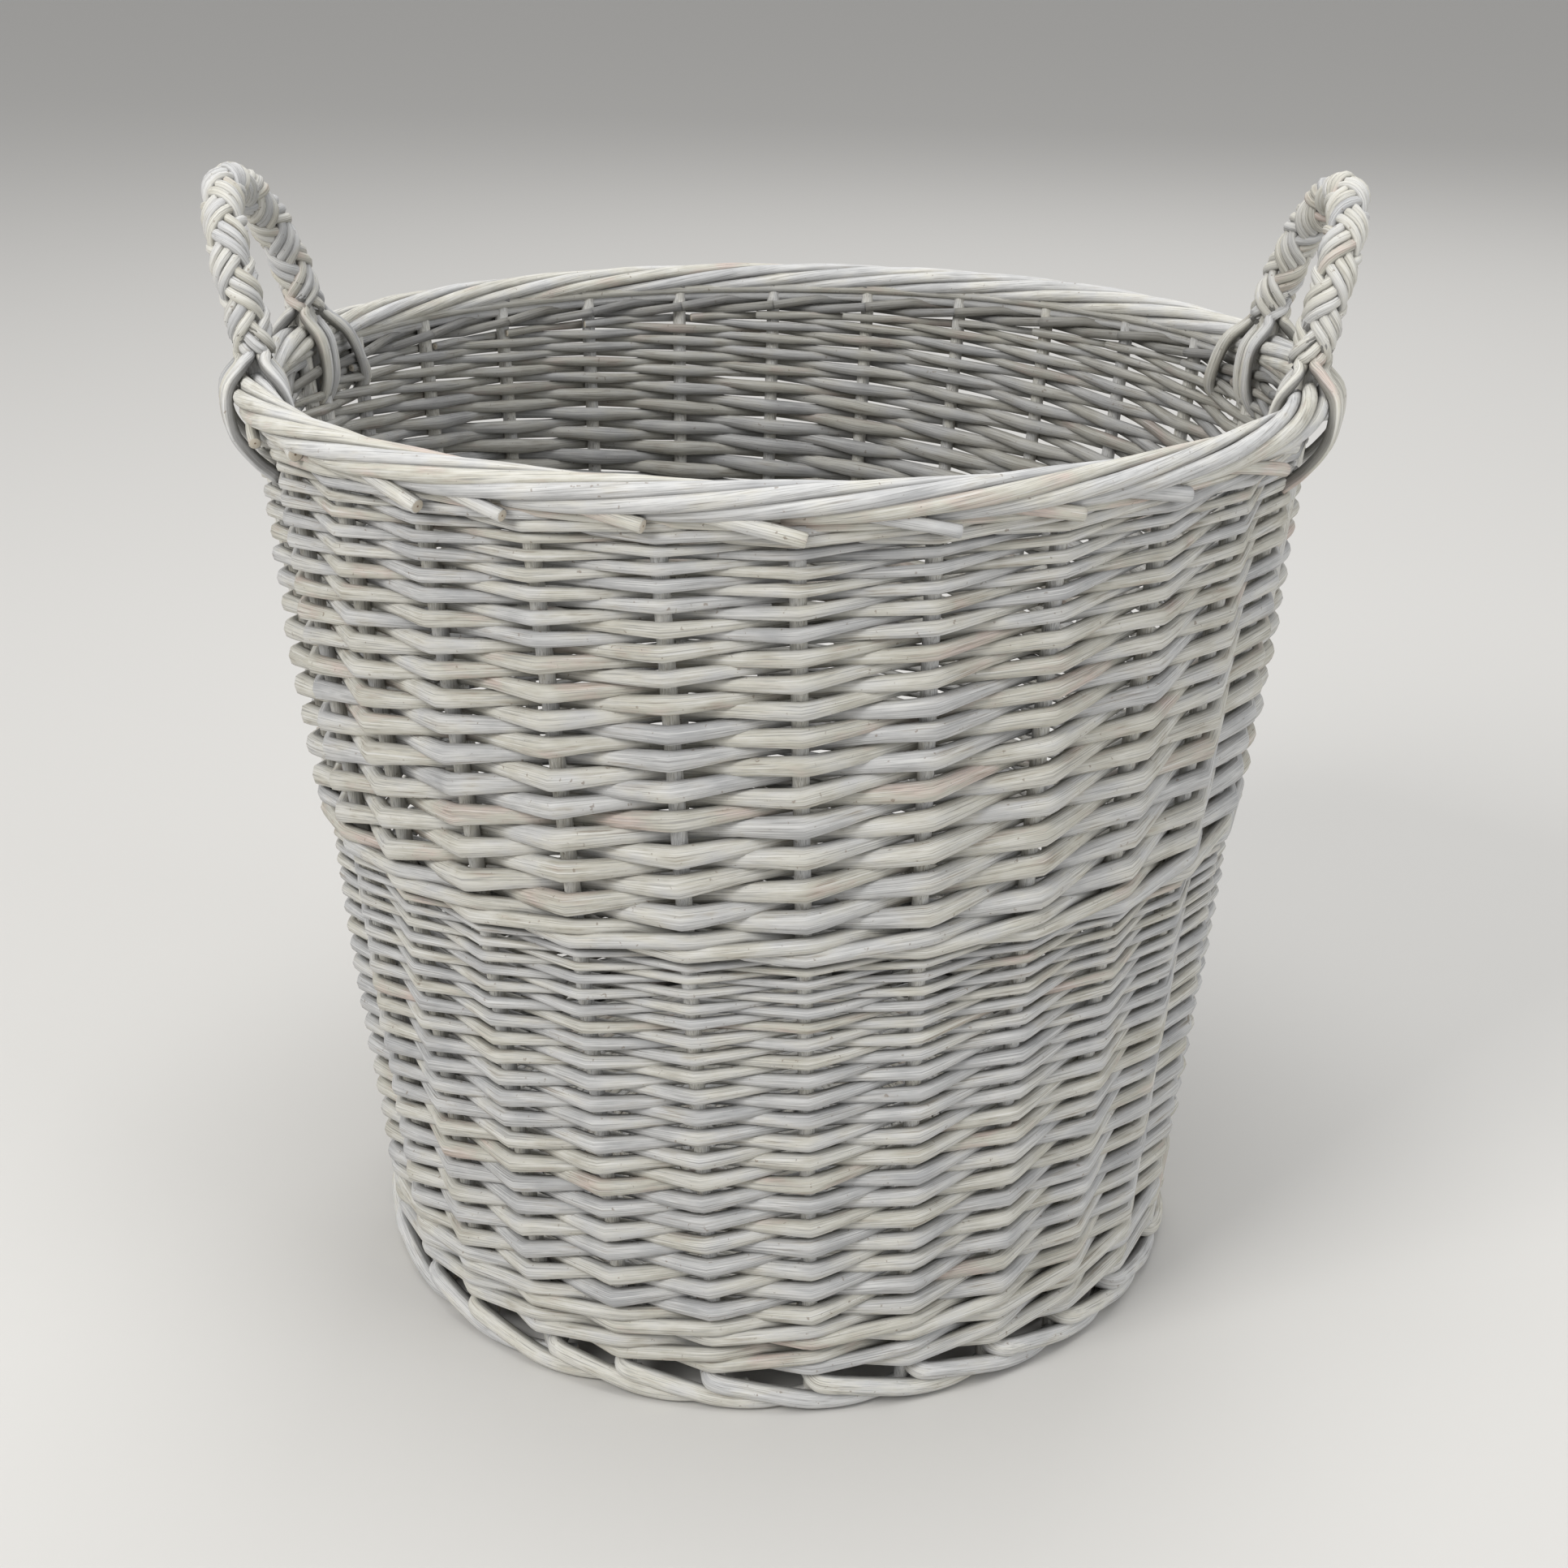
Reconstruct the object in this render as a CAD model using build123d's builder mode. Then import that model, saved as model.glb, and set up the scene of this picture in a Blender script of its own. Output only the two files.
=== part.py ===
"""Round wicker log basket with two plaited side handles.

Millimetres, +Z up, origin on the floor under the middle of the basket. The handles stand at +X and -X.
An azimuth is measured in degrees from -Y, the front, towards +X.
"""

import os
from math import cos, degrees, radians, sin

from build123d import *

os.makedirs("parts", exist_ok=True)

# The wall: a straight cone, wider at the top
rim_height = 440.0  # floor to the middle of the rim border
rim_radius = 248.2  # outside of the wall at rim_height
floor_radius = 199.3  # outside of the wall, carried on down to the floor
wall_thickness = 19.0  # a stake with a weaver on each side of it

# Bands of weaving, with sidings in between
upsett_low = 18.5
upsett_height = 30.0
middle_low = 237.0
middle_height = 15.0
top_wale_height = 9.0  # under the rim border
wale_swell = 1.5  # how far a wale stands proud of the siding on each face

# Borders
border_width = 20.0
border_drop = 9.0  # border below rim_height
border_rise = 8.0  # border above rim_height
border_overhang = 4.2  # border beyond the outside of the wall
border_round = 6.0
foot_width = 19.0
foot_height = 16.0
foot_overhang = 4.6
foot_round = 5.0

# Stakes, the upright rods that every band is woven on
stake_count = 28
stake_diameter = 7.0
stake_low = 5.0  # lower end, inside the foot border
stake_turn = 3.4  # degrees that a stake's foot stands further round than its top

# Base: sticks crossing at the middle, woven into a disc
pierced_diameter = 10.0
through_diameter = 6.5
pierced_count = 4
through_count = 3
pierced_spacing = 0.5  # between neighbours at the crossing
through_spacing = 2.5
base_thickness = 14.0
base_round = 3.0
stick_bend = 20.0  # radius where a stick turns from the crossing to its own direction
stick_seat = 12.0  # how far a stick's end goes into the upsett wale

# Handles: a bow with a plait round it, lashed to the rim border
core_diameter = 11.0
core_depth = 100.0  # leg below rim_height
leg_rise = 24.0  # straight leg above rim_height
leg_spaces = 2  # stake spaces between the two legs of one handle
shoulder_in = 12.0  # from the top of the leg towards the middle of the handle
shoulder_out = 12.0  # from the top of the leg away from the basket
shoulder_rise = 64.0
top_out = 21.0
top_rise = 87.0
leg_bend = 28.0
shoulder_bend = 36.0
top_bend = 40.0
plait_diameter = 20.0
lashing_thickness = 6.0
lashing_span = 64.0  # along the rim
lashing_drop = 40.0  # skirt below rim_height
lashing_round = 4.0

# Clearances
rod_gap = 0.15  # round each rod in its bore
end_gap = 0.5  # past the end of a rod in a blind bore
piece_gap = 0.3  # between a wrapped or fitted piece and its neighbour
leg_gap = 0.8  # between a handle leg and the stake beside it

# Worked out from the values above
lean = (rim_radius - floor_radius) / rim_height
upsett_high = upsett_low + upsett_height
middle_high = middle_low + middle_height
border_outside = rim_radius + border_overhang
border_low = rim_height - border_drop
border_high = rim_height + border_rise
top_wale_low = border_low - top_wale_height
stake_high = rim_height  # upper end of a stake, in the middle of the rim border
stake_pitch = 360 / stake_count
base_low = upsett_low
stick_height = base_low + base_thickness / 2
core_low = rim_height - core_depth
handle_half_angle = leg_spaces * stake_pitch / 2


def outer_radius(z):
    """Outside of the siding at height z."""
    return floor_radius + lean * z


def inner_radius(z):
    """Inside of the siding at height z."""
    return outer_radius(z) - wall_thickness


def middle_radius(z):
    """Middle of the wall, where the stakes stand."""
    return outer_radius(z) - wall_thickness / 2


def wall_point(azimuth, z):
    """A point in the middle of the wall."""
    a = radians(azimuth)
    return Vector(middle_radius(z) * sin(a), -middle_radius(z) * cos(a), z)


def rod(start, end, diameter):
    """A straight round rod between two points."""
    with BuildPart() as piece:
        with BuildSketch(Plane(origin=start, z_dir=end - start)):
            Circle(diameter / 2)
        extrude(amount=(end - start).length)
    return piece.part


def bore(start, end, diameter):
    """The hole that such a rod needs, a little wider and longer than the rod."""
    spare = (end - start).normalized() * end_gap
    return rod(start - spare, end + spare, diameter + 2 * rod_gap)


# A handle leg stands just left of a stake, so the stakes are turned by what the pair needs at the leg's foot.
# An odd number of spaces between the legs puts a leg half a space further on.
leg_to_stake = degrees(((stake_diameter + core_diameter) / 2 + leg_gap) / middle_radius(core_low))
stake_phase = (leg_spaces % 2) * stake_pitch / 2 + leg_to_stake
stake_azimuths = [stake_phase + i * stake_pitch for i in range(stake_count)]  # at the top
foot_phase = stake_phase + stake_turn
leg_azimuths = [side * 90 + end * handle_half_angle for side in (1, -1) for end in (1, -1)]


stake_ends = [
    (wall_point(a + stake_turn, stake_low), wall_point(a, stake_high)) for a in stake_azimuths
]
leg_ends = [(wall_point(a, core_low), wall_point(a, rim_height + leg_rise)) for a in leg_azimuths]
stake_bores = [bore(foot, top, stake_diameter) for foot, top in stake_ends]
core_bores = [bore(foot, top, core_diameter) for foot, top in leg_ends]


def finish(piece, name):
    """Names a finished piece and writes its file."""
    piece.part.label = name
    export_step(piece.part, f"parts/{name}.step")


# Stakes
for i, (foot, top) in enumerate(stake_ends):
    with BuildPart() as stake:
        add(rod(foot, top, stake_diameter))
    finish(stake, f"stake_{i + 1:02d}")


# Base sticks: the through sticks cross the pierced ones in the middle of the base
crossing_pitch = through_diameter + through_spacing
pierced_pitch = pierced_diameter + pierced_spacing
pierced_straight = crossing_pitch * (through_count - 1) / 2 + through_diameter
through_straight = pierced_pitch * (pierced_count - 1) / 2 + pierced_diameter
stick_end = inner_radius(stick_height) - wale_swell + stick_seat
end_pitch = 180 / (pierced_count + through_count)
base_turn = foot_phase + stake_pitch / 2
base_plane = Plane.XY.offset(stick_height).rotated((0, 0, base_turn))


def stick_points(offset, fan, straight, length):
    """Half the route of a stick along local X, from the crossing to its end, and the other half."""
    a = radians(fan)
    end = (length * cos(a), length * sin(a))
    if abs(offset) < 1e-6:
        return [(-length, 0), (length, 0)]
    return [(-end[0], end[1]), (-straight, offset), (straight, offset), end]


def stick(diameter, offset, fan, straight, plane, length):
    """A base stick of this diameter."""
    with BuildPart() as piece:
        with BuildLine(plane) as route:
            points = stick_points(offset, fan, straight, length)
            if len(points) == 2:
                Line(*points)
            else:
                FilletPolyline(*points, radius=stick_bend)
        with BuildSketch(Plane(origin=route.line @ 0, z_dir=route.line % 0)):
            Circle(diameter / 2)
        sweep(path=route.line)
    return piece.part


def stick_layout():
    """Name, diameter, offset from the middle, fan angle, straight length and plane of each stick."""
    across = base_plane.rotated((0, 0, 90))
    layout = []
    for i in range(pierced_count):
        k = i - (pierced_count - 1) / 2
        name = f"base_stick_pierced_{i + 1}"
        layout.append((name, pierced_diameter, k * pierced_pitch, k * end_pitch, pierced_straight, base_plane))
    for i in range(through_count):
        k = i - (through_count - 1) / 2
        name = f"base_stick_through_{i + 1}"
        layout.append((name, through_diameter, k * crossing_pitch, k * end_pitch, through_straight, across))
    return layout


stick_bores = []
through_bores = []
for name, diameter, offset, fan, straight, plane in stick_layout():
    seat = stick(diameter + 2 * rod_gap, offset, fan, straight, plane, stick_end + end_gap)
    stick_bores.append(seat)
    if diameter == through_diameter:
        through_bores.append(seat)

for name, diameter, offset, fan, straight, plane in stick_layout():
    with BuildPart() as base_stick:
        add(stick(diameter, offset, fan, straight, plane, stick_end))
        if diameter == pierced_diameter:
            add(through_bores, mode=Mode.SUBTRACT)
    finish(base_stick, name)

# Base weave
base_radius = inner_radius(base_low) - wale_swell - piece_gap
with BuildPart() as base_weave:
    with BuildSketch(Plane.XY.offset(base_low)):
        Circle(base_radius)
    extrude(amount=base_thickness)
    fillet(base_weave.edges().filter_by(GeomType.CIRCLE), base_round)
    add(stick_bores, mode=Mode.SUBTRACT)
finish(base_weave, "base_weave")


def band(low, high, swell, bores):
    """A band of weaving between two heights, bored for the rods that pass through it."""
    with BuildPart() as piece:
        with BuildSketch(Plane.XZ):
            Polygon(
                (inner_radius(low) - swell, low),
                (outer_radius(low) + swell, low),
                (outer_radius(high) + swell, high),
                (inner_radius(high) - swell, high),
                align=None,
            )
        revolve(axis=Axis.Z)
        if swell:
            fillet(piece.edges().filter_by(GeomType.CIRCLE), swell)
        add(bores, mode=Mode.SUBTRACT)
    return piece


# Bands of weaving, from the bottom up
upsett_wale = band(upsett_low, upsett_high, wale_swell, stake_bores + stick_bores)
finish(upsett_wale, "upsett_wale")
lower_siding = band(upsett_high, middle_low, 0, stake_bores)
finish(lower_siding, "lower_siding")
middle_wale = band(middle_low, middle_high, wale_swell, stake_bores)
finish(middle_wale, "middle_wale")
upper_siding = band(middle_high, top_wale_low, 0, stake_bores + core_bores)
finish(upper_siding, "upper_siding")
top_wale = band(top_wale_low, border_low, wale_swell, stake_bores + core_bores)
finish(top_wale, "top_wale")


def border(outside, width, low, high, corner, bores):
    """A ring of rolled rods with rounded edges, flat underneath."""
    with BuildPart() as piece:
        with BuildSketch(Plane.XZ):
            with Locations((outside - width / 2, (low + high) / 2)):
                RectangleRounded(width, high - low, corner)
        revolve(axis=Axis.Z)
        add(bores, mode=Mode.SUBTRACT)
    return piece


rim_border = border(
    border_outside, border_width, border_low, border_high, border_round, stake_bores + core_bores
)
finish(rim_border, "rim_border")
foot_border = border(
    floor_radius + foot_overhang, foot_width, 0, foot_height, foot_round, stake_bores
)
finish(foot_border, "foot_border")


# Handles: the right one is made, and the left one is its mirror image
def handle_points(leg_low):
    """Corners of the right handle's route, from the foot of its front leg to that of its back leg."""
    corner_height = rim_height + leg_rise
    half = []
    for end in (-1, 1):
        azimuth = 90 + end * handle_half_angle
        foot = wall_point(azimuth, leg_low)
        corner = wall_point(azimuth, corner_height)
        shoulder = Vector(corner.X + shoulder_out, corner.Y - end * shoulder_in, rim_height + shoulder_rise)
        half.append([foot, corner, shoulder])
    top = Vector(half[0][1].X + top_out, 0, rim_height + top_rise)
    return [*half[0], top, *reversed(half[1])]


def bow(leg_low, diameter):
    """A round rod along the right handle's route."""
    with BuildPart() as piece:
        with BuildLine() as route:
            FilletPolyline(
                *handle_points(leg_low),
                radius=[leg_bend, shoulder_bend, top_bend, shoulder_bend, leg_bend],
            )
        with BuildSketch(Plane(origin=route.line @ 0, z_dir=route.line % 0)):
            Circle(diameter / 2)
        sweep(path=route.line)
    return piece.part


with BuildPart() as handle_core_right:
    add(bow(core_low, core_diameter))
finish(handle_core_right, "handle_core_right")

with BuildPart() as handle_core_left:
    mirror(handle_core_right.part, about=Plane.YZ)
finish(handle_core_left, "handle_core_left")

plait_tilt = plait_diameter / 2 * lean  # dip of its slanting lower end
plait_low = border_high + piece_gap + lashing_thickness + piece_gap + plait_tilt
with BuildPart() as handle_plait_right:
    add(bow(plait_low, plait_diameter))
    add(bow(core_low, core_diameter + 2 * rod_gap), mode=Mode.SUBTRACT)
finish(handle_plait_right, "handle_plait_right")

with BuildPart() as handle_plait_left:
    mirror(handle_plait_right.part, about=Plane.YZ)
finish(handle_plait_left, "handle_plait_left")


def lashing_profile():
    """Outline of a lashing cut across the rim: over the border and down both faces of the wall."""
    low = rim_height - lashing_drop
    face = wale_swell + piece_gap
    thick = lashing_thickness
    inside = min(border_outside - border_width - piece_gap, inner_radius(border_low) - face)
    outside = max(border_outside + piece_gap, outer_radius(border_low) + face)
    under = border_low - piece_gap
    over = border_high + piece_gap
    return [
        (outer_radius(low) + face, low),
        (outside, under),
        (outside, over),
        (inside, over),
        (inside, under),
        (inner_radius(low) - face, low),
        (inner_radius(low) - face - thick, low),
        (inside - thick, under),
        (inside - thick, over + thick),
        (outside + thick, over + thick),
        (outside + thick, under),
        (outer_radius(low) + face + thick, low),
    ]


lashing_arc = degrees(lashing_span / rim_radius)
for azimuth in leg_azimuths:
    side = "right" if azimuth > 0 else "left"
    end = "front" if abs(azimuth) < 90 else "back"
    start = azimuth - 90 - lashing_arc / 2
    with BuildPart() as lashing:
        with BuildSketch(Plane.XZ.rotated((0, 0, start))):
            outline = Polygon(*lashing_profile(), align=None)
            fillet(outline.vertices().sort_by(Axis.Y)[-2:], lashing_round)
        revolve(axis=Axis.Z, revolution_arc=lashing_arc)
        add(core_bores, mode=Mode.SUBTRACT)
    finish(lashing, f"handle_lashing_{side}_{end}")
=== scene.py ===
"""Looks of the wicker log basket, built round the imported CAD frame. Metres, +Z up, front at -Y.

u counts the stakes round the wall. Stake 1 stands at u = 0, and stake 2, the next one to its right as seen from
outside, at u = 1. Depth is measured outwards from the middle of the wall, where the stakes stand.
"""

import itertools
import math

import bpy
import numpy as np
from mathutils import Matrix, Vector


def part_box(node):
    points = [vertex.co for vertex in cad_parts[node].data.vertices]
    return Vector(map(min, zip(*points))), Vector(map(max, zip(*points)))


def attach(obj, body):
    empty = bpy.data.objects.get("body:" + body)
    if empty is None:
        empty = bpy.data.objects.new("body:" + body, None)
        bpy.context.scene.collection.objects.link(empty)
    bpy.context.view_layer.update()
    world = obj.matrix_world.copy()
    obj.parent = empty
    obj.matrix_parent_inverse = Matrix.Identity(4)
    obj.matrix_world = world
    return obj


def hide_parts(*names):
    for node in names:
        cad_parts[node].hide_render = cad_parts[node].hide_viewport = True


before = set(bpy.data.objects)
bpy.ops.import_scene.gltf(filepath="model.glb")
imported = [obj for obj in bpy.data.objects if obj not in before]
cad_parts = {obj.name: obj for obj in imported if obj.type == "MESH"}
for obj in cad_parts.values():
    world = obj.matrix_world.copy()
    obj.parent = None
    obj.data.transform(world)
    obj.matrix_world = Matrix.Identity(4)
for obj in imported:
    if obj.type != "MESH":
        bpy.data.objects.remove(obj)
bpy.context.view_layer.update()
rng = np.random.default_rng(11)
MM = 0.001

# Sizes that the frame's boxes don't give
STAKES = 28
STAKE_RADIUS = 3.5 * MM
BORDER_RISE = 8 * MM  # top of the rim border above the height of the rim
BORDER_WIDTH = 20 * MM  # of the rim border, from the inside to the outside
LEG_ANGLE = 2 * math.pi / STAKES  # from the middle of a handle to either leg, round the rim

# Sizes that come from the frame
rim_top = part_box("rim_border")[1][2]
rim_height = rim_top - BORDER_RISE
border_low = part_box("rim_border")[0][2]
border_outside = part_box("rim_border")[1][0]
foot_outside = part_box("foot_border")[1][0]


def rod_ends(node):
    """Middles of the lower and the upper end of a straight CAD rod."""
    points = np.array([v.co[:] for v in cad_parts[node].data.vertices])
    reach = 2 * MM  # vertices this close to the lowest or highest one belong to that end
    low = points[points[:, 2] < points[:, 2].min() + reach].mean(axis=0)
    high = points[points[:, 2] > points[:, 2].max() - reach].mean(axis=0)
    return low, high


stake_foot, stake_top = rod_ends("stake_01")


def azimuth_of(point):
    """Angle from -Y towards +X."""
    return math.atan2(point[0], -point[1])


def along_stake(z, low, high):
    """A value that runs straight from low at a stake's foot to high at its top."""
    return low + (high - low) * (z - stake_foot[2]) / (stake_top[2] - stake_foot[2])


def wall_radius(z):
    """Radius of the middle of the wall at height z."""
    return along_stake(z, math.hypot(*stake_foot[:2]), math.hypot(*stake_top[:2]))


def wall(u, z, depth):
    """Points at stake coordinate u, height z and depth, as an array of n by 3."""
    u, z, depth = np.broadcast_arrays(np.asarray(u, float), z, depth)
    a = along_stake(z, azimuth_of(stake_foot), azimuth_of(stake_top)) + u * 2 * math.pi / STAKES
    r = wall_radius(z) + depth
    return np.stack([r * np.sin(a), -r * np.cos(a), z], axis=-1)


def outwards(points):
    """Unit vectors pointing away from the basket's axis."""
    flat = points * (1, 1, 0)
    return flat / np.linalg.norm(flat, axis=1, keepdims=True)


# Camera and stage
def place_camera():
    """The camera in front of the basket, looking down into it."""
    round_basket, look_down = 1.2, 21.76  # degrees
    away, up = 2.5 * rim_height, 1.52 * rim_height
    aside, roll = -0.0015, 0.0058  # radians
    data = bpy.data.cameras.new("camera")
    data.lens = 54.32
    data.sensor_width = 36
    data.clip_end = 100
    camera = bpy.data.objects.new("camera", data)
    bpy.context.collection.objects.link(camera)
    camera.matrix_world = (
        Matrix.Rotation(math.radians(round_basket), 4, "Z")
        @ Matrix.Translation((0, -away, up))
        @ Matrix.Rotation(aside, 4, "Z")
        @ Matrix.Rotation(math.radians(90 - look_down), 4, "X")
        @ Matrix.Rotation(roll, 4, "Z")
    )
    bpy.context.scene.camera = camera


def area_light(name, place, aim, size, watts, colour=(1, 1, 1)):
    """A soft square light at place, turned to aim."""
    data = bpy.data.lights.new(name, "AREA")
    data.size = size
    data.energy = watts
    data.color = colour
    light = bpy.data.objects.new(name, data)
    bpy.context.collection.objects.link(light)
    light.location = place
    direction = np.array(aim, float) - np.array(place, float)
    yaw = math.atan2(direction[0], -direction[1])
    drop = math.atan2(math.hypot(direction[0], direction[1]), -direction[2])
    light.rotation_euler = (drop, 0, yaw + math.pi)


def light_stage():
    """Soft studio light, strongest from the upper left in front, and a pale surround."""
    middle = (0, 0, rim_height / 2)
    area_light("key", (-2.4, -2.4, 2.8), middle, 1.6, 100, (1.0, 0.99, 0.97))
    area_light("fill", (3.0, -1.8, 1.6), middle, 2.0, 34, (0.97, 0.985, 1.0))
    area_light("back", (0.6, 3.0, 2.6), middle, 2.0, 30)
    area_light("top", (0, -0.2, 3.2), middle, 1.6, 34)
    world = bpy.data.worlds.new("surround")
    bpy.context.scene.world = world
    world.use_nodes = True
    background = world.node_tree.nodes["Background"]
    background.inputs["Color"].default_value = (0.80, 0.80, 0.80, 1)
    background.inputs["Strength"].default_value = 0.60
    bpy.context.scene.view_settings.view_transform = "Standard"


def make_floor():
    """A plain pale floor, a disc wide enough to fill the picture."""
    radius, corners = 30, 64
    mesh = bpy.data.meshes.new("floor")
    turns = np.linspace(0, 2 * math.pi, corners + 1)[:-1]
    ring = [(radius * math.cos(a), radius * math.sin(a), 0) for a in turns]
    mesh.from_pydata(ring, [], [range(len(ring))])
    floor = bpy.data.objects.new("floor", mesh)
    bpy.context.collection.objects.link(floor)
    material = bpy.data.materials.new("pale_floor")
    material.use_nodes = True
    shader = material.node_tree.nodes["Principled BSDF"]
    shader.inputs["Base Color"].default_value = (0.62, 0.61, 0.59, 1)
    shader.inputs["Roughness"].default_value = 0.8
    mesh.materials.append(material)


# Materials
class Graph:
    """Short calls for building a node tree."""

    def __init__(self, name):
        self.material = bpy.data.materials.new(name)
        self.material.use_nodes = True
        self.tree = self.material.node_tree
        self.shader = self.tree.nodes["Principled BSDF"]

    def node(self, kind, inputs=(), **settings):
        """A node with its settings and its inputs, which are values or other nodes' outputs."""
        made = self.tree.nodes.new(kind)
        for key, value in settings.items():
            setattr(made, key, value)
        for key, value in dict(inputs).items():
            if isinstance(value, bpy.types.NodeSocket):
                self.tree.links.new(value, made.inputs[key])
            else:
                made.inputs[key].default_value = value
        return made

    def attribute(self, name):
        """A number stored on the mesh."""
        return self.node("ShaderNodeAttribute", attribute_name=name).outputs["Fac"]

    def math(self, operation, a, b=0.0, c=0.0):
        """One step of arithmetic, with its result held between 0 and 1."""
        return self.node(
            "ShaderNodeMath", {0: a, 1: b, 2: c}, operation=operation, use_clamp=True
        ).outputs[0]

    def noise(self, vector, scale, detail=3.0, rough=0.55):
        """Noise from 0 to 1."""
        return self.node(
            "ShaderNodeTexNoise",
            {"Vector": vector, "Scale": scale, "Detail": detail, "Roughness": rough},
        ).outputs["Fac"]

    def stretch(self, vector, scale):
        """Coordinates scaled along each axis."""
        return self.node("ShaderNodeMapping", {"Vector": vector, "Scale": scale}).outputs[0]

    def ramp(self, value, stops):
        """A colour ramp. stops is a list of (position, colour)."""
        made = self.node("ShaderNodeValToRGB", {0: value})
        elements = made.color_ramp.elements
        while len(elements) < len(stops):
            elements.new(0.5)
        for element, (position, colour) in zip(elements, stops):
            element.position = position
            element.color = (*colour, 1)
        return made.outputs["Color"]

    def step(self, value, low, high):
        """0 below low, 1 above high, and smooth between."""
        return self.node(
            "ShaderNodeMapRange",
            {"Value": value, "From Min": low, "From Max": high},
            interpolation_type="SMOOTHSTEP",
        ).outputs["Result"]

    def mix(self, amount, a, b):
        """Colour a turning into colour b, which is three plain numbers. a and amount are outputs of nodes."""
        return self.node(
            "ShaderNodeMix", {0: amount, 6: a, 7: (*b, 1)}, data_type="RGBA", blend_type="MIX"
        ).outputs[2]


def whitewashed(name, from_mesh, light=1.0, bare=0.30):
    """Willow under worn whitewash.

    from_mesh takes the grain from the rods' own coordinates. light makes the wash brighter or duller, and bare
    is how much wood shows through it.
    """
    g = Graph(name)
    if from_mesh:
        grain = g.node("ShaderNodeAttribute", attribute_name="grain").outputs["Vector"]
        tone = g.attribute("tone")
        crevice_shade = g.attribute("crevice_shade")
        streak_scale, patch_scale = (45, 900, 900), (34, 90, 90)
        fibre_scale = (30, 2600, 2600)
    else:
        grain = g.node("ShaderNodeTexCoord").outputs["Object"]
        tone = g.noise(grain, 9.0, 1.0)
        # An even touch of painted shade over the stakes
        crevice_shade = 0.1
        streak_scale, patch_scale = (900, 900, 45), (60, 60, 34)
        fibre_scale = (2600, 2600, 30)
    streaks = g.noise(g.stretch(grain, streak_scale), 1.0, 4.0, 0.6)
    patches = g.noise(g.stretch(grain, patch_scale), 1.0, 3.0, 0.6)
    specks = g.noise(grain, 420.0, 2.0, 0.5)
    fibres = g.noise(g.stretch(grain, fibre_scale), 1.0, 2.0, 0.5)

    # The wash runs from cool grey through cream to a reddish brown, by patches and from rod to rod
    hue = g.math("MULTIPLY_ADD", patches, 1.0, -0.26)
    hue = g.math("MULTIPLY_ADD", tone, 0.46, hue)
    wash_stops = [
        (0.08, (0.47, 0.475, 0.485)),
        (0.34, (0.66, 0.66, 0.655)),
        (0.52, (0.72, 0.705, 0.645)),
        (0.68, (0.62, 0.60, 0.52)),
        (0.84, (0.66, 0.55, 0.49)),
    ]
    colour = g.ramp(hue, [(at, [part * light for part in shade]) for at, shade in wash_stops])

    def cover(amount, strength, layer):
        """Lays the colour layer over what is there, with this strength at most."""
        return g.mix(g.math("MULTIPLY", amount, strength), colour, layer)

    bare_wood, grey_streak = (0.33, 0.27, 0.20), (0.26, 0.26, 0.255)
    dark_fibre, chalk = (0.22, 0.215, 0.205), (0.90, 0.90, 0.885)
    fleck, dirt_and_shade = (0.22, 0.16, 0.11), (0.085, 0.083, 0.078)
    sawn_edge, pith = (0.55, 0.50, 0.42), (0.20, 0.14, 0.09)
    worn = g.math("MULTIPLY", g.step(streaks, 0.50, 0.70), g.step(patches, 0.40, 0.66))
    colour = cover(worn, bare * 2.4, bare_wood)
    colour = cover(g.step(streaks, 0.48, 0.30), 0.50, grey_streak)
    colour = cover(g.step(fibres, 0.46, 0.32), 0.55, dark_fibre)
    colour = cover(g.step(fibres, 0.55, 0.68), 0.55, chalk)
    colour = cover(g.step(specks, 0.68, 0.76), 0.6, fleck)
    # Dark along the streaks, which is grime, and painted shade where the crevice mark is high, on the flanks
    # and deep in the wall
    grime_and_shade = g.math("MULTIPLY_ADD", streaks, 0.5, g.math("MULTIPLY_ADD", crevice_shade, 1.1, -0.28))
    colour = cover(grime_and_shade, 0.95, dirt_and_shade)
    if from_mesh:
        cut = g.attribute("cut")
        colour = g.mix(g.step(cut, 0.15, 0.25), colour, sawn_edge)
        colour = g.mix(g.step(cut, 0.80, 0.92), colour, pith)
    g.tree.links.new(colour, g.shader.inputs["Base Color"])
    roughness = g.math("MULTIPLY_ADD", streaks, 0.30, 0.52)
    g.tree.links.new(roughness, g.shader.inputs["Roughness"])
    g.shader.inputs["Specular IOR Level"].default_value = 0.35
    relief = g.math("MULTIPLY_ADD", specks, 0.25, g.math("MULTIPLY", streaks, 0.75))
    bump = g.node("ShaderNodeBump", {"Height": relief, "Strength": 0.55, "Distance": 0.6 * MM})
    g.tree.links.new(bump.outputs["Normal"], g.shader.inputs["Normal"])
    return g.material


# Rods
def smooth_noise(count, every):
    """Random values about 0 that change slowly along a rod."""
    knots = rng.uniform(-1, 1, max(2, int(count / every) + 2))
    return np.interp(np.linspace(0, len(knots) - 1, count), np.arange(len(knots)), knots)


def curve_through(points, steps):
    """A smooth curve (Catmull-Rom) through points, with this many steps between neighbours."""
    p = np.asarray(points, float)
    p = np.vstack([2 * p[0] - p[1], p, 2 * p[-1] - p[-2]])
    t = np.arange(steps)[:, None] / steps
    pieces = []
    for a, b, c, d in zip(p, p[1:], p[2:], p[3:]):
        pieces.append(
            b + 0.5 * t * (c - a + t * (2 * a - 5 * b + 4 * c - d + t * (3 * b - 3 * c + d - a)))
        )
    return np.vstack([*pieces, p[-2][None]])


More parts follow.
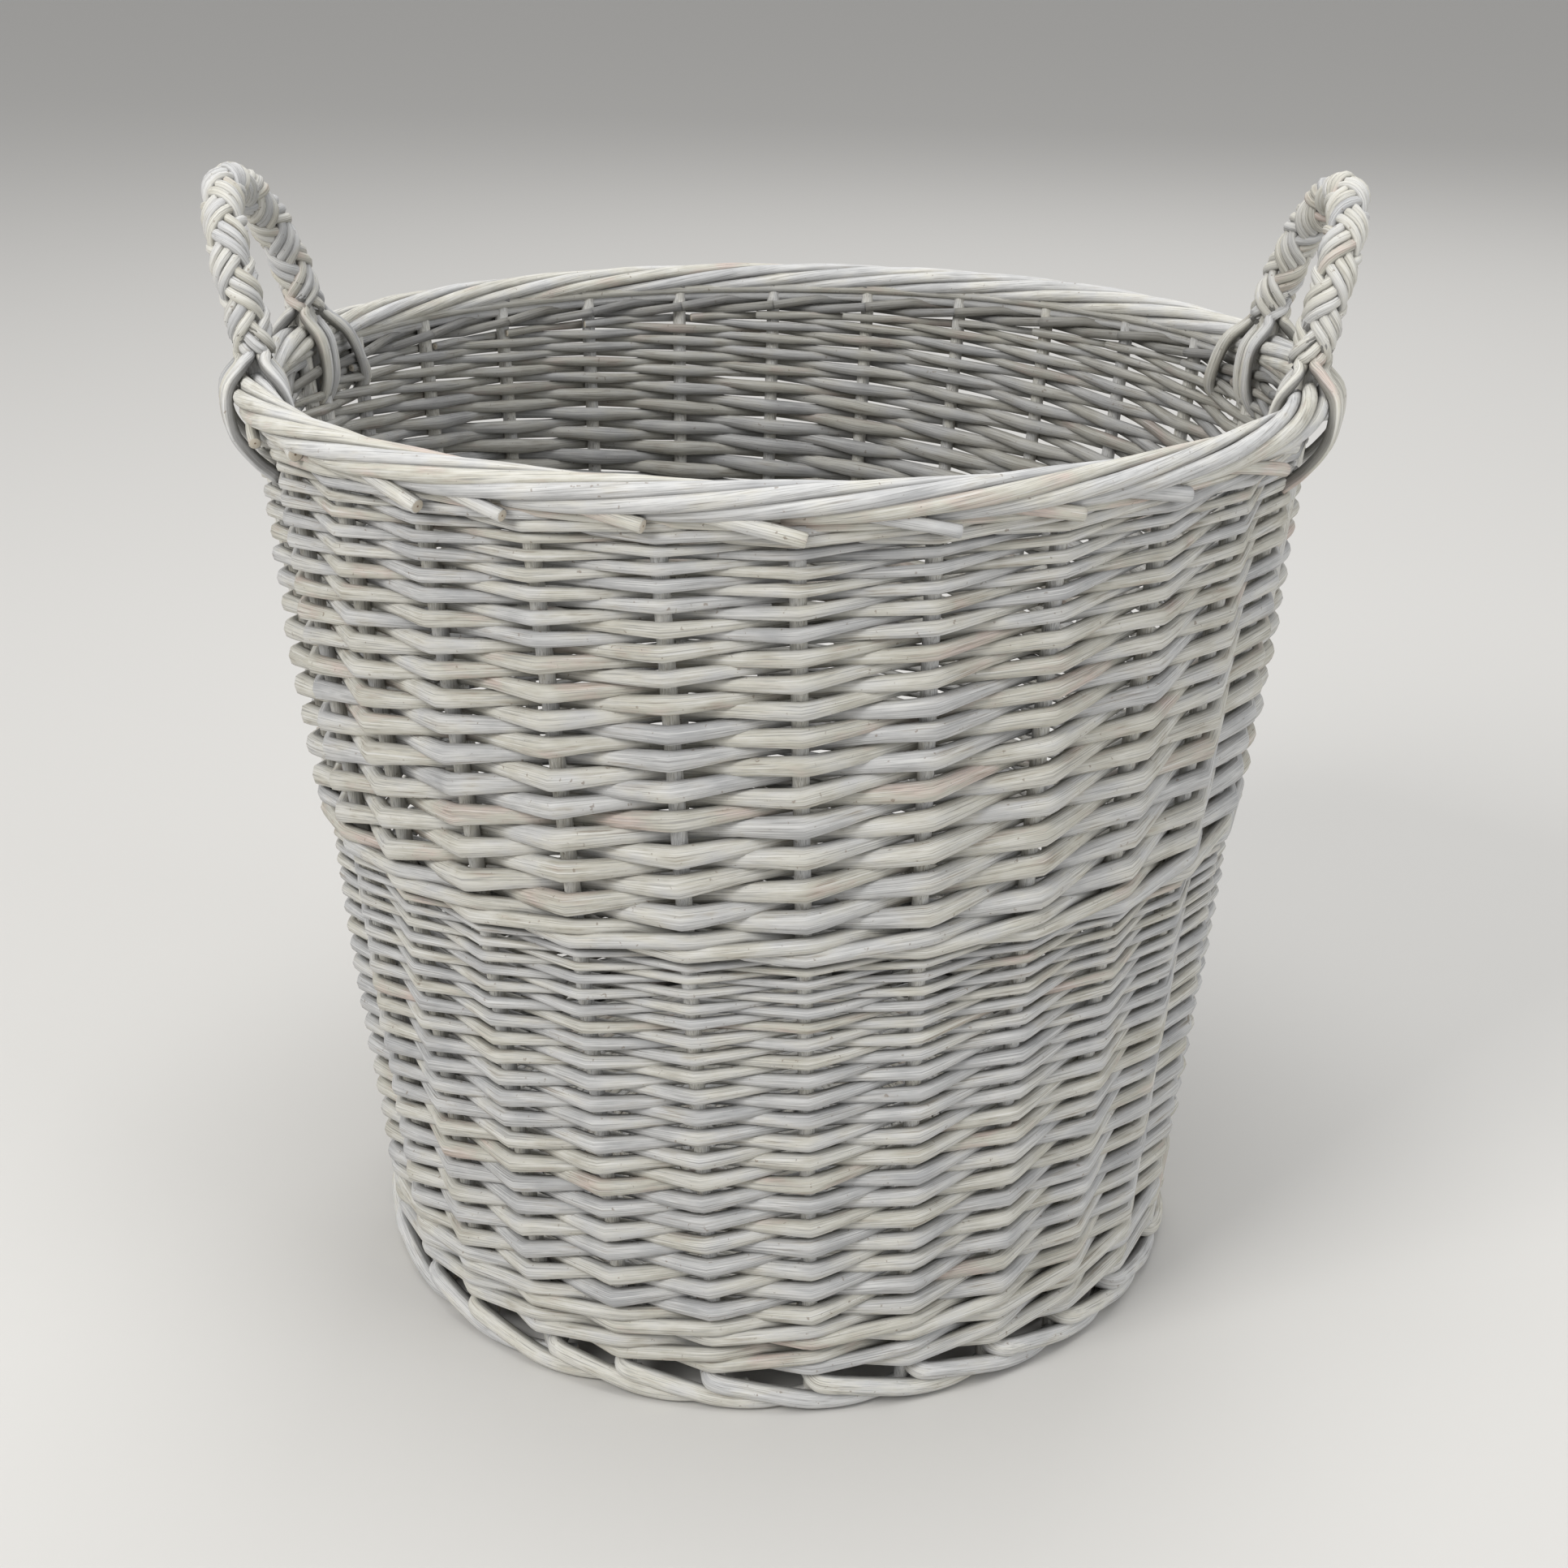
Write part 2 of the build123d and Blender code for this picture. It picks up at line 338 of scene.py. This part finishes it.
class Rods:
    """A bundle of rods that becomes one mesh."""

    SWELL = 0.05  # how much a rod's thickness wanders
    BEVEL = 0.4 * MM  # at a sawn end
    SAWN = 0.86  # size of the flat part of a sawn end

    def __init__(self):
        self.points = []
        self.faces = []
        self.marks = {"tone": [], "crevice_shade": [], "cut": []}
        self.grain = []
        self.count = 0

    def add(
        self, path, wide, deep, out, sides=8, tone=None, shade=0.5, cut=(True, True), square=1.0
    ):
        """A rod along path. deep is its radius towards out, and wide is its radius across that.

        shade is painted shade on the flanks and on the side that looks away from out. cut says which ends are
        sawn flat.
        square below 1 flattens the four sides, as on a rod that was pressed into the weave.
        """
        path = np.asarray(path, float)
        n = len(path)
        swell = 1 + self.SWELL * smooth_noise(n, 5)
        wide = np.broadcast_to(wide, n) * swell
        deep = np.broadcast_to(deep, n) * swell
        tone = np.broadcast_to(rng.uniform() if tone is None else tone, n)
        tangent = np.gradient(path, axis=0)
        tangent /= np.linalg.norm(tangent, axis=1, keepdims=True)
        normal = np.broadcast_to(out, (n, 3))
        normal = normal - (normal * tangent).sum(axis=1, keepdims=True) * tangent
        normal = normal / np.linalg.norm(normal, axis=1, keepdims=True)
        across = np.cross(tangent, normal)
        steps = np.linalg.norm(np.diff(path, axis=0), axis=1)
        # Every rod takes its grain from another part of the pattern
        along = np.concatenate([[0], np.cumsum(steps)]) + rng.uniform(0, 30)
        turn = rng.uniform(0, 10)

        # Each ring is a place on the path, a size, a shift along the rod and the mark of a sawn end
        shifts = (-self.BEVEL if cut[0] else 0, self.BEVEL if cut[1] else 0)
        rings = [(i, 1.0, 0.0, 0.0) for i in range(n)]
        if cut[0]:
            rings.insert(0, (0, self.SAWN, shifts[0], 0.2))
        if cut[1]:
            rings.append((n - 1, self.SAWN, shifts[1], 0.2))
        angles = np.arange(sides) * 2 * math.pi / sides
        cosine, sine = np.cos(angles)[:, None], np.sin(angles)[:, None]
        # Painted shade: darker on the flanks and on the side that looks away from out, where neighbouring rods
        # touch
        dark = shade * np.clip((0.45 - cosine[:, 0]) / 0.5, 0, 1)
        cosine = np.sign(cosine) * np.abs(cosine) ** square
        sine = np.sign(sine) * np.abs(sine) ** square
        points, grain, crevice_shade, ends = [], [], [], []
        for i, scale, shift, end in rings:
            middle = path[i] + tangent[i] * shift
            spoke = normal[i] * deep[i] * cosine + across[i] * wide[i] * sine
            points.append(middle + spoke * scale)
            size = deep[i] * scale
            lengthwise = np.full((sides, 1), along[i])
            grain.append(np.hstack([lengthwise, size * cosine + turn, size * sine]))
            crevice_shade.append(dark)
            ends.append(np.full(sides, end))
        for i, shift in zip((0, n - 1), shifts):
            points.append((path[i] + tangent[i] * shift)[None])
            grain.append(np.array([[along[i], turn, 0]]))
            crevice_shade.append(np.zeros(1))
            ends.append(np.ones(1) if shift else np.zeros(1))
        self.add_faces(len(rings), sides)
        self.points.append(np.vstack(points))
        self.grain.append(np.vstack(grain))
        self.marks["crevice_shade"].append(np.concatenate(crevice_shade))
        self.marks["cut"].append(np.concatenate(ends))
        ring_tones = np.repeat([tone[i] for i, *_ in rings], sides)
        self.marks["tone"].append(np.concatenate([ring_tones, [tone[0], tone[-1]]]))
        self.count += len(self.points[-1])

    def add_faces(self, rings, sides):
        """Faces between a rod's rings, and a fan at each end round the two points that follow the rings."""
        first = self.count
        for i in range(rings - 1):
            a = first + i * sides
            for j in range(sides):
                k = (j + 1) % sides
                self.faces.append((a + j, a + k, a + sides + k, a + sides + j))
        start, last = first + rings * sides, first + (rings - 1) * sides
        for j in range(sides):
            k = (j + 1) % sides
            self.faces.append((start, first + k, first + j))
            self.faces.append((start + 1, last + j, last + k))

    def build(self, name, material, nodes, slot, wall_shade=False):
        """Makes the mesh and registers it with the frame. wall_shade paints shade onto what lies deep in the
        wall.
        """
        points = np.vstack(self.points)
        marks = {key: np.concatenate(values) for key, values in self.marks.items()}
        if wall_shade:
            # Painted shade on what lies close to the middle of the wall, between the rows and beside the stakes
            depth = np.abs(np.hypot(points[:, 0], points[:, 1]) - wall_radius(points[:, 2]))
            buried_shade = 1 - np.clip(depth / (4.0 * MM), 0, 1)
            marks["crevice_shade"] = np.maximum(0.42 * buried_shade, marks["crevice_shade"])
        mesh = bpy.data.meshes.new(name)
        mesh.from_pydata(points.tolist(), [], self.faces)
        for key, values in marks.items():
            mesh.attributes.new(key, "FLOAT", "POINT").data.foreach_set("value", values)
        grain = np.vstack(self.grain).ravel()
        mesh.attributes.new("grain", "FLOAT_VECTOR", "POINT").data.foreach_set("vector", grain)
        mesh.shade_smooth()
        mesh.materials.append(material)
        piece = bpy.data.objects.new(name, mesh)
        bpy.context.collection.objects.link(piece)
        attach(piece, "root")
        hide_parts(*nodes)


# Weaving
# Where a weaver is sampled between two stakes
STEPS = np.array([0, 0.07, 0.18, 0.34, 0.5, 0.66, 0.82, 0.93])


def weave_stations(first, last):
    """Sampled stake coordinates from first to last, closest together at the stakes."""
    whole = np.arange(math.floor(first) - 1, math.ceil(last) + 1)
    u = (whole[:, None] + STEPS).ravel()
    return np.concatenate([[first], u[(u > first + 0.02) & (u < last - 0.02)], [last]])


def straighten(u, radius):
    """How far a straight stretch between two stakes runs inside the circle through them."""
    part = u % 1
    return radius * (1 - math.cos(math.pi / STAKES)) * 4 * part * (1 - part)


def over_under(u):
    """1 in front of even stakes, -1 behind odd ones, and straight between, with slightly round corners."""
    away = np.abs((u + 1) % 2 - 1)
    soft = 0.05
    near = np.sqrt(away**2 + soft**2) - soft
    far = np.sqrt((1 - away) ** 2 + soft**2) - soft
    return (far - near) / (1 - 2 * (math.sqrt(0.25 + soft**2) - 0.5))


def make_siding(name, node, thin, pitches):
    """French randing: one weaver for each stake, over one and under one, climbing half a row at each stake.

    pitches lists (part of the height, distance between rows) from the bottom up. thin is how much of that
    distance a weaver's radius takes up where the rows are closest.
    """
    full = 0.275  # the same, where the rows are furthest apart
    low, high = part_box(node)[0][2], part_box(node)[1][2]
    heights = np.linspace(low, high, 400)
    at = low + (high - low) * np.array([p[0] for p in pitches])
    pitch_at = np.interp(heights, at, [p[1] * MM for p in pitches])
    step = (heights[1] - heights[0]) / pitch_at
    rounds = np.concatenate([[0], np.cumsum((step[1:] + step[:-1]) / 2)])
    rows = round(rounds[-1])
    rounds *= rows / rounds[-1]
    rods = Rods()
    for i in range(STAKES):
        last = i + 2 * rows - 1 + rng.uniform(-0.15, 0.25)
        u = weave_stations(i - 1 - rng.uniform(0.05, 0.35), last)
        row = np.clip(0.42 + (u - i) / 2, 0.12, rows - 0.25)
        row = row + 0.075 * smooth_noise(len(u), 5)
        z = np.interp(row, rounds, heights)
        pitch = np.interp(z, heights, pitch_at)
        side = over_under(u - i)
        deep = np.minimum(0.30 * pitch, 4.1 * MM) * (1 + 0.04 * rng.uniform(-1, 1))
        fullness = np.interp(pitch, [6 * MM, 9 * MM, 13 * MM], [thin, (thin + full) / 2, full])
        wide = pitch * (fullness + 0.085 * np.abs(side)) * (1 + 0.05 * rng.uniform(-1, 1))
        depth = side * (0.92 * STAKE_RADIUS + 0.95 * deep)
        depth = depth - straighten(u, wall_radius(z)) + 0.5 * MM * smooth_noise(len(u), 4)
        path = wall(u, z, depth)
        tone = np.clip(rng.uniform(0, 1) + 0.35 * smooth_noise(len(u), 11), 0, 1)
        rods.add(path, wide, deep, outwards(path), tone=tone, shade=0.55, square=0.8)
    rods.build(name, willow, [node], "weaver_willow", wall_shade=True)


def make_wale(name, node, rows, sides=8, fineness=4.2):
    """Three-rod waling: each stroke passes in front of two stakes and behind one.

    fineness is the height of a row in rod radii.
    """
    low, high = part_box(node)[0][2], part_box(node)[1][2]
    pitch = (high - low) / rows
    radius = pitch / fineness
    reach = 0.95 * STAKE_RADIUS + 0.95 * radius  # from the middle of the wall to a rod in front of a stake
    rods = Rods()
    for row in range(rows):
        middle = low + (row + 0.5) * pitch
        for s in range(STAKES):
            u = weave_stations(s - 1, s + 2)
            part = u - s
            in_front = [-reach, 0.93 * reach, reach, reach, 0.93 * reach, -reach]
            depth = np.interp(part, [-1, -0.06, 0.06, 0.94, 1.06, 2], in_front)
            depth = depth - straighten(u, wall_radius(middle))
            climb = np.interp(part, [-1, -0.5, 0, 1, 1.5, 2], [0, -1.15, -0.95, 0.95, 1.15, 0])
            climb = climb * radius + 0.05 * radius * smooth_noise(len(u), 5)
            path = wall(u, middle + climb, depth)
            girth = radius * (1 + 0.08 * rng.uniform(-1, 1))
            rods.add(
                path, girth, girth, outwards(path),
                sides=sides, cut=(False, False), shade=0.75, square=0.9,
            )
    rods.build(name, willow, [node], "weaver_willow", wall_shade=True)


# Borders
def make_rim_border():
    """The stakes' upper ends, rolled over to the right round the rim, with their trimmed butts below."""
    rods = Rods()
    centre = border_outside - BORDER_WIDTH / 2
    middle = (rim_top + border_low) / 2

    # Each stake winds once round the border on its way past the next ones
    radius = 3.3 * MM
    half_width = BORDER_WIDTH / 2 - radius
    half_height = (rim_top - border_low) / 2 - radius
    spaces = 5.7  # stake spaces that each strand runs over
    start, sweep = -75, 350  # degrees round the border's section, from its outside upwards
    for s in range(STAKES):
        u = np.linspace(s - 0.1, s - 0.1 + spaces * rng.uniform(0.97, 1.05), 56)
        part = (u - u[0]) / spaces
        angle = np.radians(start + sweep * part + 5 * smooth_noise(len(u), 9))
        taper = radius * np.interp(part, [0, 0.06, 0.6, 1], [1.0, 1.08, 1.0, 0.8])
        flare = 1 + 0.03 * smooth_noise(len(u), 8)
        r = centre + half_width * np.cos(angle) * flare
        z = middle + half_height * np.sin(angle) * flare
        path = wall(u, z, r - wall_radius(z))
        section = np.stack([np.cos(angle), np.sin(angle)], axis=1)
        out = outwards(path) * section[:, :1] + np.array([0, 0, 1]) * section[:, 1:]
        rods.add(path, taper, taper * 0.95, out, sides=9, shade=0.9)

    # The ends that lie inside the roll, as (outwards, up) from its middle in mm
    inner_radius = 2.6 * MM
    inner_rings = [(-3, 1.5), (3, 1.5), (-6, -4), (-2, -4.5), (2, -4.5), (-4.5, -8.5), (-0.5, -9)]
    for across, up in inner_rings:
        u = np.linspace(0, STAKES, 5 * STAKES + 1)
        z = middle + (up + 0.4 * smooth_noise(len(u), 6)) * MM
        path = wall(u, z, centre + across * MM - wall_radius(z))
        rods.add(path, inner_radius, inner_radius, outwards(path), shade=0.4, cut=(False, False))

    # The trimmed butts: stake spaces past a stake, mm outwards, and mm above the underside of the border
    stations = [(-0.95, -2, 7), (-0.6, 5, 4), (-0.3, 9.5, 1.5), (-0.02, 12.5, -1.6), (0.22, 14.5, -5.0)]
    for s in range(STAKES):
        shown = rng.uniform(0.25, 1.0) if rng.uniform() < 0.75 else 0.0
        shift = rng.uniform(-0.12, 0.12)
        path = curve_through(
            [wall(s + past + shift, border_low + up * MM, depth * MM) for past, depth, up in stations],
            6,
        )
        path = path[: 13 + round(12 * shown)]
        girth = rng.uniform(2.7, 3.4) * MM
        rods.add(path, girth, girth, outwards(path), sides=12, shade=0.7)
    rods.build("rim_border_rods", border_willow, ["rim_border"], "border_willow")


def make_foot_border():
    """The stakes' lower ends, bent out under the wale and laid to the right round the foot."""
    rods = Rods()
    girth = 4.5 * MM
    lane = foot_outside - girth - wall_radius(10 * MM)
    # Stake spaces past a stake, depth, and height in mm
    stations = [
        (-0.10, -8 * MM, 17.5),
        (-0.03, -1 * MM, 15.0),
        (0.03, lane * 0.70, 14.0),
        (0.14, lane * 1.0, 13.4),
        (0.36, lane * 1.03, 12.0),
        (0.70, lane * 1.0, 8.8),
        (1.06, lane * 0.98, 5.6),
        (1.45, lane * 0.85, 4.7),
        (1.85, lane * 0.3, 4.6),
        (2.15, -0.4 * lane, 4.8),
    ]
    for s in range(STAKES):
        slip = rng.uniform(-0.2, 0.2)
        lift = rng.uniform(-0.5, 0.6)
        points = [wall(s + past + slip, (z + lift) * MM, depth) for past, depth, z in stations]
        path = curve_through(points, 6)
        path[:, 2] = np.maximum(path[:, 2], girth + 0.1 * MM)
        part = np.linspace(0, 1, len(path))
        taper = girth * np.interp(part, [0, 0.2, 0.6, 1], [0.95, 1.0, 0.95, 0.8])
        rods.add(path, taper, taper, outwards(path), sides=12, shade=0.75)
    rods.build("foot_border_rods", border_willow, ["foot_border"], "border_willow")


# Handles
def resample(points, spacing):
    """The same line with evenly spaced points, and each point's distance along it."""
    along = np.concatenate([[0], np.cumsum(np.linalg.norm(np.diff(points, axis=0), axis=1))])
    at = np.linspace(0, along[-1], int(along[-1] / spacing) + 1)
    return np.stack([np.interp(at, along, points[:, k]) for k in range(3)], axis=1), at


def handle_route(leg_low):
    """The middle line of the right handle's bow, from its front foot to its back foot."""
    corner_z = rim_height + 24 * MM
    shoulder_in, shoulder_out, shoulder_rise = 12 * MM, 12 * MM, 64 * MM
    top_out, top_rise = 21 * MM, 87 * MM
    legs = []
    for end in (-1, 1):
        a = math.pi / 2 + end * LEG_ANGLE
        low, high = wall_radius(leg_low), wall_radius(corner_z)
        foot = (low * math.sin(a), -low * math.cos(a), leg_low)
        corner = (high * math.sin(a), -high * math.cos(a), corner_z)
        shoulder = (
            corner[0] + shoulder_out,
            corner[1] - end * shoulder_in,
            rim_height + shoulder_rise,
        )
        legs.append([foot, corner, shoulder])
    top = (legs[0][1][0] + top_out, 0, rim_height + top_rise)
    line = np.array([*legs[0], top, *legs[1][::-1]], float)
    for _ in range(5):  # each round cuts the corners off
        near = 0.75 * line[:-1] + 0.25 * line[1:]
        far = 0.25 * line[:-1] + 0.75 * line[1:]
        cut = np.stack([near, far], axis=1)
        line = np.vstack([line[:1], cut.reshape(-1, 3), line[-1:]])
    return line


def foot_of_strand(azimuth, outside, lateral, spread):
    """Where a strand goes below the plait: over the border, down its face, and into the wall.

    lateral is how far the strand starts from the leg along the rim, and spread how far it moves on.
    """
    # Part of the spread, distance from the axis, and height
    if outside:
        face = border_outside
        places = [
            (0.15, face - 5 * MM, rim_top + 3.2 * MM),
            (0.45, face + 2.2 * MM, rim_height + 2 * MM),
            (0.75, face + 1.4 * MM, border_low - 4 * MM),
            (1.0, face - 6 * MM, border_low - 15 * MM),
            (1.1, face - 14 * MM, border_low - 22 * MM),
        ]
    else:
        face = border_outside - BORDER_WIDTH
        places = [
            (0.15, face + 4 * MM, rim_top + 3.2 * MM),
            (0.45, face - 2.6 * MM, rim_height + 1 * MM),
            (0.75, face - 4.2 * MM, border_low - 6 * MM),
            (1.0, face - 1 * MM, border_low - 17 * MM),
            (1.1, face + 6 * MM, border_low - 25 * MM),
        ]
    points = []
    for part, r, z in places:
        a = azimuth + (lateral + spread * part) / r
        points.append((r * math.sin(a), -r * math.cos(a), z))
    return points


def tail_of_strand(path, foot, end):
    """The stretch of a strand below the plait, and the directions in which its outer side looks.

    path starts at the strand's lower end, foot is the middle of the bow there, and end is -1 for the front leg
    and 1 for the back one. About half of the strands leave the leg and run along the rim.
    """
    azimuth = math.pi / 2 + end * LEG_ANGLE
    along_rim = np.array([math.cos(azimuth), math.sin(azimuth), 0])
    away = np.array([math.sin(azimuth), -math.cos(azimuth), 0])
    lateral = float((path[0] - foot) @ along_rim)
    outside = float((path[0] - foot) @ away) > 0
    leaving = lateral * end > (-1 if outside else 1) * MM
    spread = end * (34 if leaving else 3) * MM * rng.uniform(0.85, 1.1)
    below = foot_of_strand(azimuth, outside, lateral * 1.35, spread)
    tail = curve_through(np.vstack([path[[8, 4, 0]], below]), 5)
    border_middle = outwards(tail) * (border_outside - BORDER_WIDTH / 2)
    out = tail - border_middle - np.array([0, 0, rim_height])
    return tail, out / np.linalg.norm(out, axis=1, keepdims=True)


def make_handle(side, word):
    """A bow with twelve strands plaited round it in four groups, which fan out over the border at both feet."""
    line, at = resample(handle_route(rim_top + 8 * MM), 2.0 * MM)
    tangent = np.gradient(line, axis=0)
    tangent /= np.linalg.norm(tangent, axis=1, keepdims=True)
    normal = np.array([1.0, 0, 0]) - tangent[:, :1] * tangent
    normal /= np.linalg.norm(normal, axis=1, keepdims=True)
    across = np.cross(tangent, normal)
    turn_length = 52 * MM
    phase = 2 * math.pi * round(at[-1] / turn_length) * at / at[-1]
    mirror = np.array([side, 1, 1])
    plait_radius, weave_depth, strand_radius = 6.3 * MM, 1.5 * MM, 2.6 * MM
    neighbour = 0.88  # radians from one strand of a group to the next
    plait, lashings = Rods(), {"front": Rods(), "back": Rods()}
    for hand, start, place in itertools.product((1, -1), (0.0, math.pi), (-1, 0, 1)):
        offset = place * neighbour
        theta = hand * phase + start + math.pi / 4 + offset
        over = hand * np.cos(2 * phase + hand * offset)
        r = plait_radius + weave_depth * over + 0.2 * MM * smooth_noise(len(at), 8)
        spoke = normal * np.cos(theta)[:, None] + across * np.sin(theta)[:, None]
        path = line + spoke * r[:, None]
        tone = rng.uniform()
        girth = strand_radius * (1 + 0.07 * rng.uniform(-1, 1))
        plait.add(
            path * mirror, girth, girth, spoke * mirror, tone=tone, shade=0.85, cut=(False, False)
        )
        for word_of_end, end, strand, foot in (
            ("front", -1, path, line[0]),
            ("back", 1, path[::-1], line[-1]),
        ):
            tail, out = tail_of_strand(strand, foot, end)
            lashings[word_of_end].add(
                tail * mirror, girth, girth, out * mirror, tone=tone, shade=0.8, cut=(False, False)
            )
    plait.build(
        f"handle_plait_{word}_strands", handle_willow, [f"handle_plait_{word}"], "handle_willow"
    )
    for word_of_end, rods in lashings.items():
        node = f"handle_lashing_{word}_{word_of_end}"
        rods.build(f"{node}_strands", handle_willow, [node], "handle_willow")


# Base
def make_base():
    """Pairing round the base sticks, from the crossing out to the wale."""
    low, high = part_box("base_weave")[0][2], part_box("base_weave")[1][2]
    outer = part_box("base_weave")[1][0]
    middle = (low + high) / 2
    girth = 2.2 * MM
    pitch = 2.12 * girth
    crossing = 34 * MM  # radius left for the crossing of the sticks
    ends = 14  # of the seven base sticks
    turn = along_stake(0, azimuth_of(stake_foot), azimuth_of(stake_top)) + math.pi / STAKES
    rods = Rods()
    for row in range(int((outer - crossing) / pitch)):
        r0 = outer - girth - row * pitch
        a = np.linspace(0, 2 * math.pi, ends * 6 + 1)
        wave = ends / 2 * a
        for hand in (-1, 1):
            lift = hand * (middle - low - girth) * np.cos(wave)
            r = r0 + hand * girth * 0.8 * np.sin(wave)
            azimuth = a + turn + (row % 2) * 2 * math.pi / ends
            path = np.stack([r * np.sin(azimuth), -r * np.cos(azimuth), middle + lift], axis=1)
            rods.add(path, girth, girth, [0, 0, 1], sides=6, shade=0, cut=(False, False))
    rods.build("base_weave_rods", willow, ["base_weave"], "base_willow")


place_camera()
light_stage()
make_floor()

willow = whitewashed("whitewashed_willow", True)
border_willow = whitewashed("whitewashed_border", True, light=1.12, bare=0.22)
handle_willow = whitewashed("whitewashed_handle", True, light=1.12, bare=0.20)
stake_willow = whitewashed("whitewashed_stake", False, light=1.05)

make_siding(
    "lower_siding_weavers",
    "lower_siding",
    0.215,
    [(0, 12.8), (0.33, 12.0), (0.49, 11.4), (0.65, 10.4), (0.8, 8.6), (0.91, 7.2), (1, 5.6)],
)
make_siding(
    "upper_siding_weavers",
    "upper_siding",
    0.27,
    [(0, 15.2), (0.28, 14.4), (0.52, 12.4), (0.7, 10.8), (0.87, 8.4), (1, 6.2)],
)
make_wale("upsett_wale_rods", "upsett_wale", 2, sides=10)
make_wale("middle_wale_rods", "middle_wale", 1)
make_wale("top_wale_rods", "top_wale", 1, fineness=3.6)
make_rim_border()
make_foot_border()
make_handle(1, "right")
make_handle(-1, "left")
make_base()

for name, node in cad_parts.items():
    if name.startswith(("stake_", "base_stick_", "handle_core_")):
        for material_slot in node.material_slots:
            material_slot.material = stake_willow
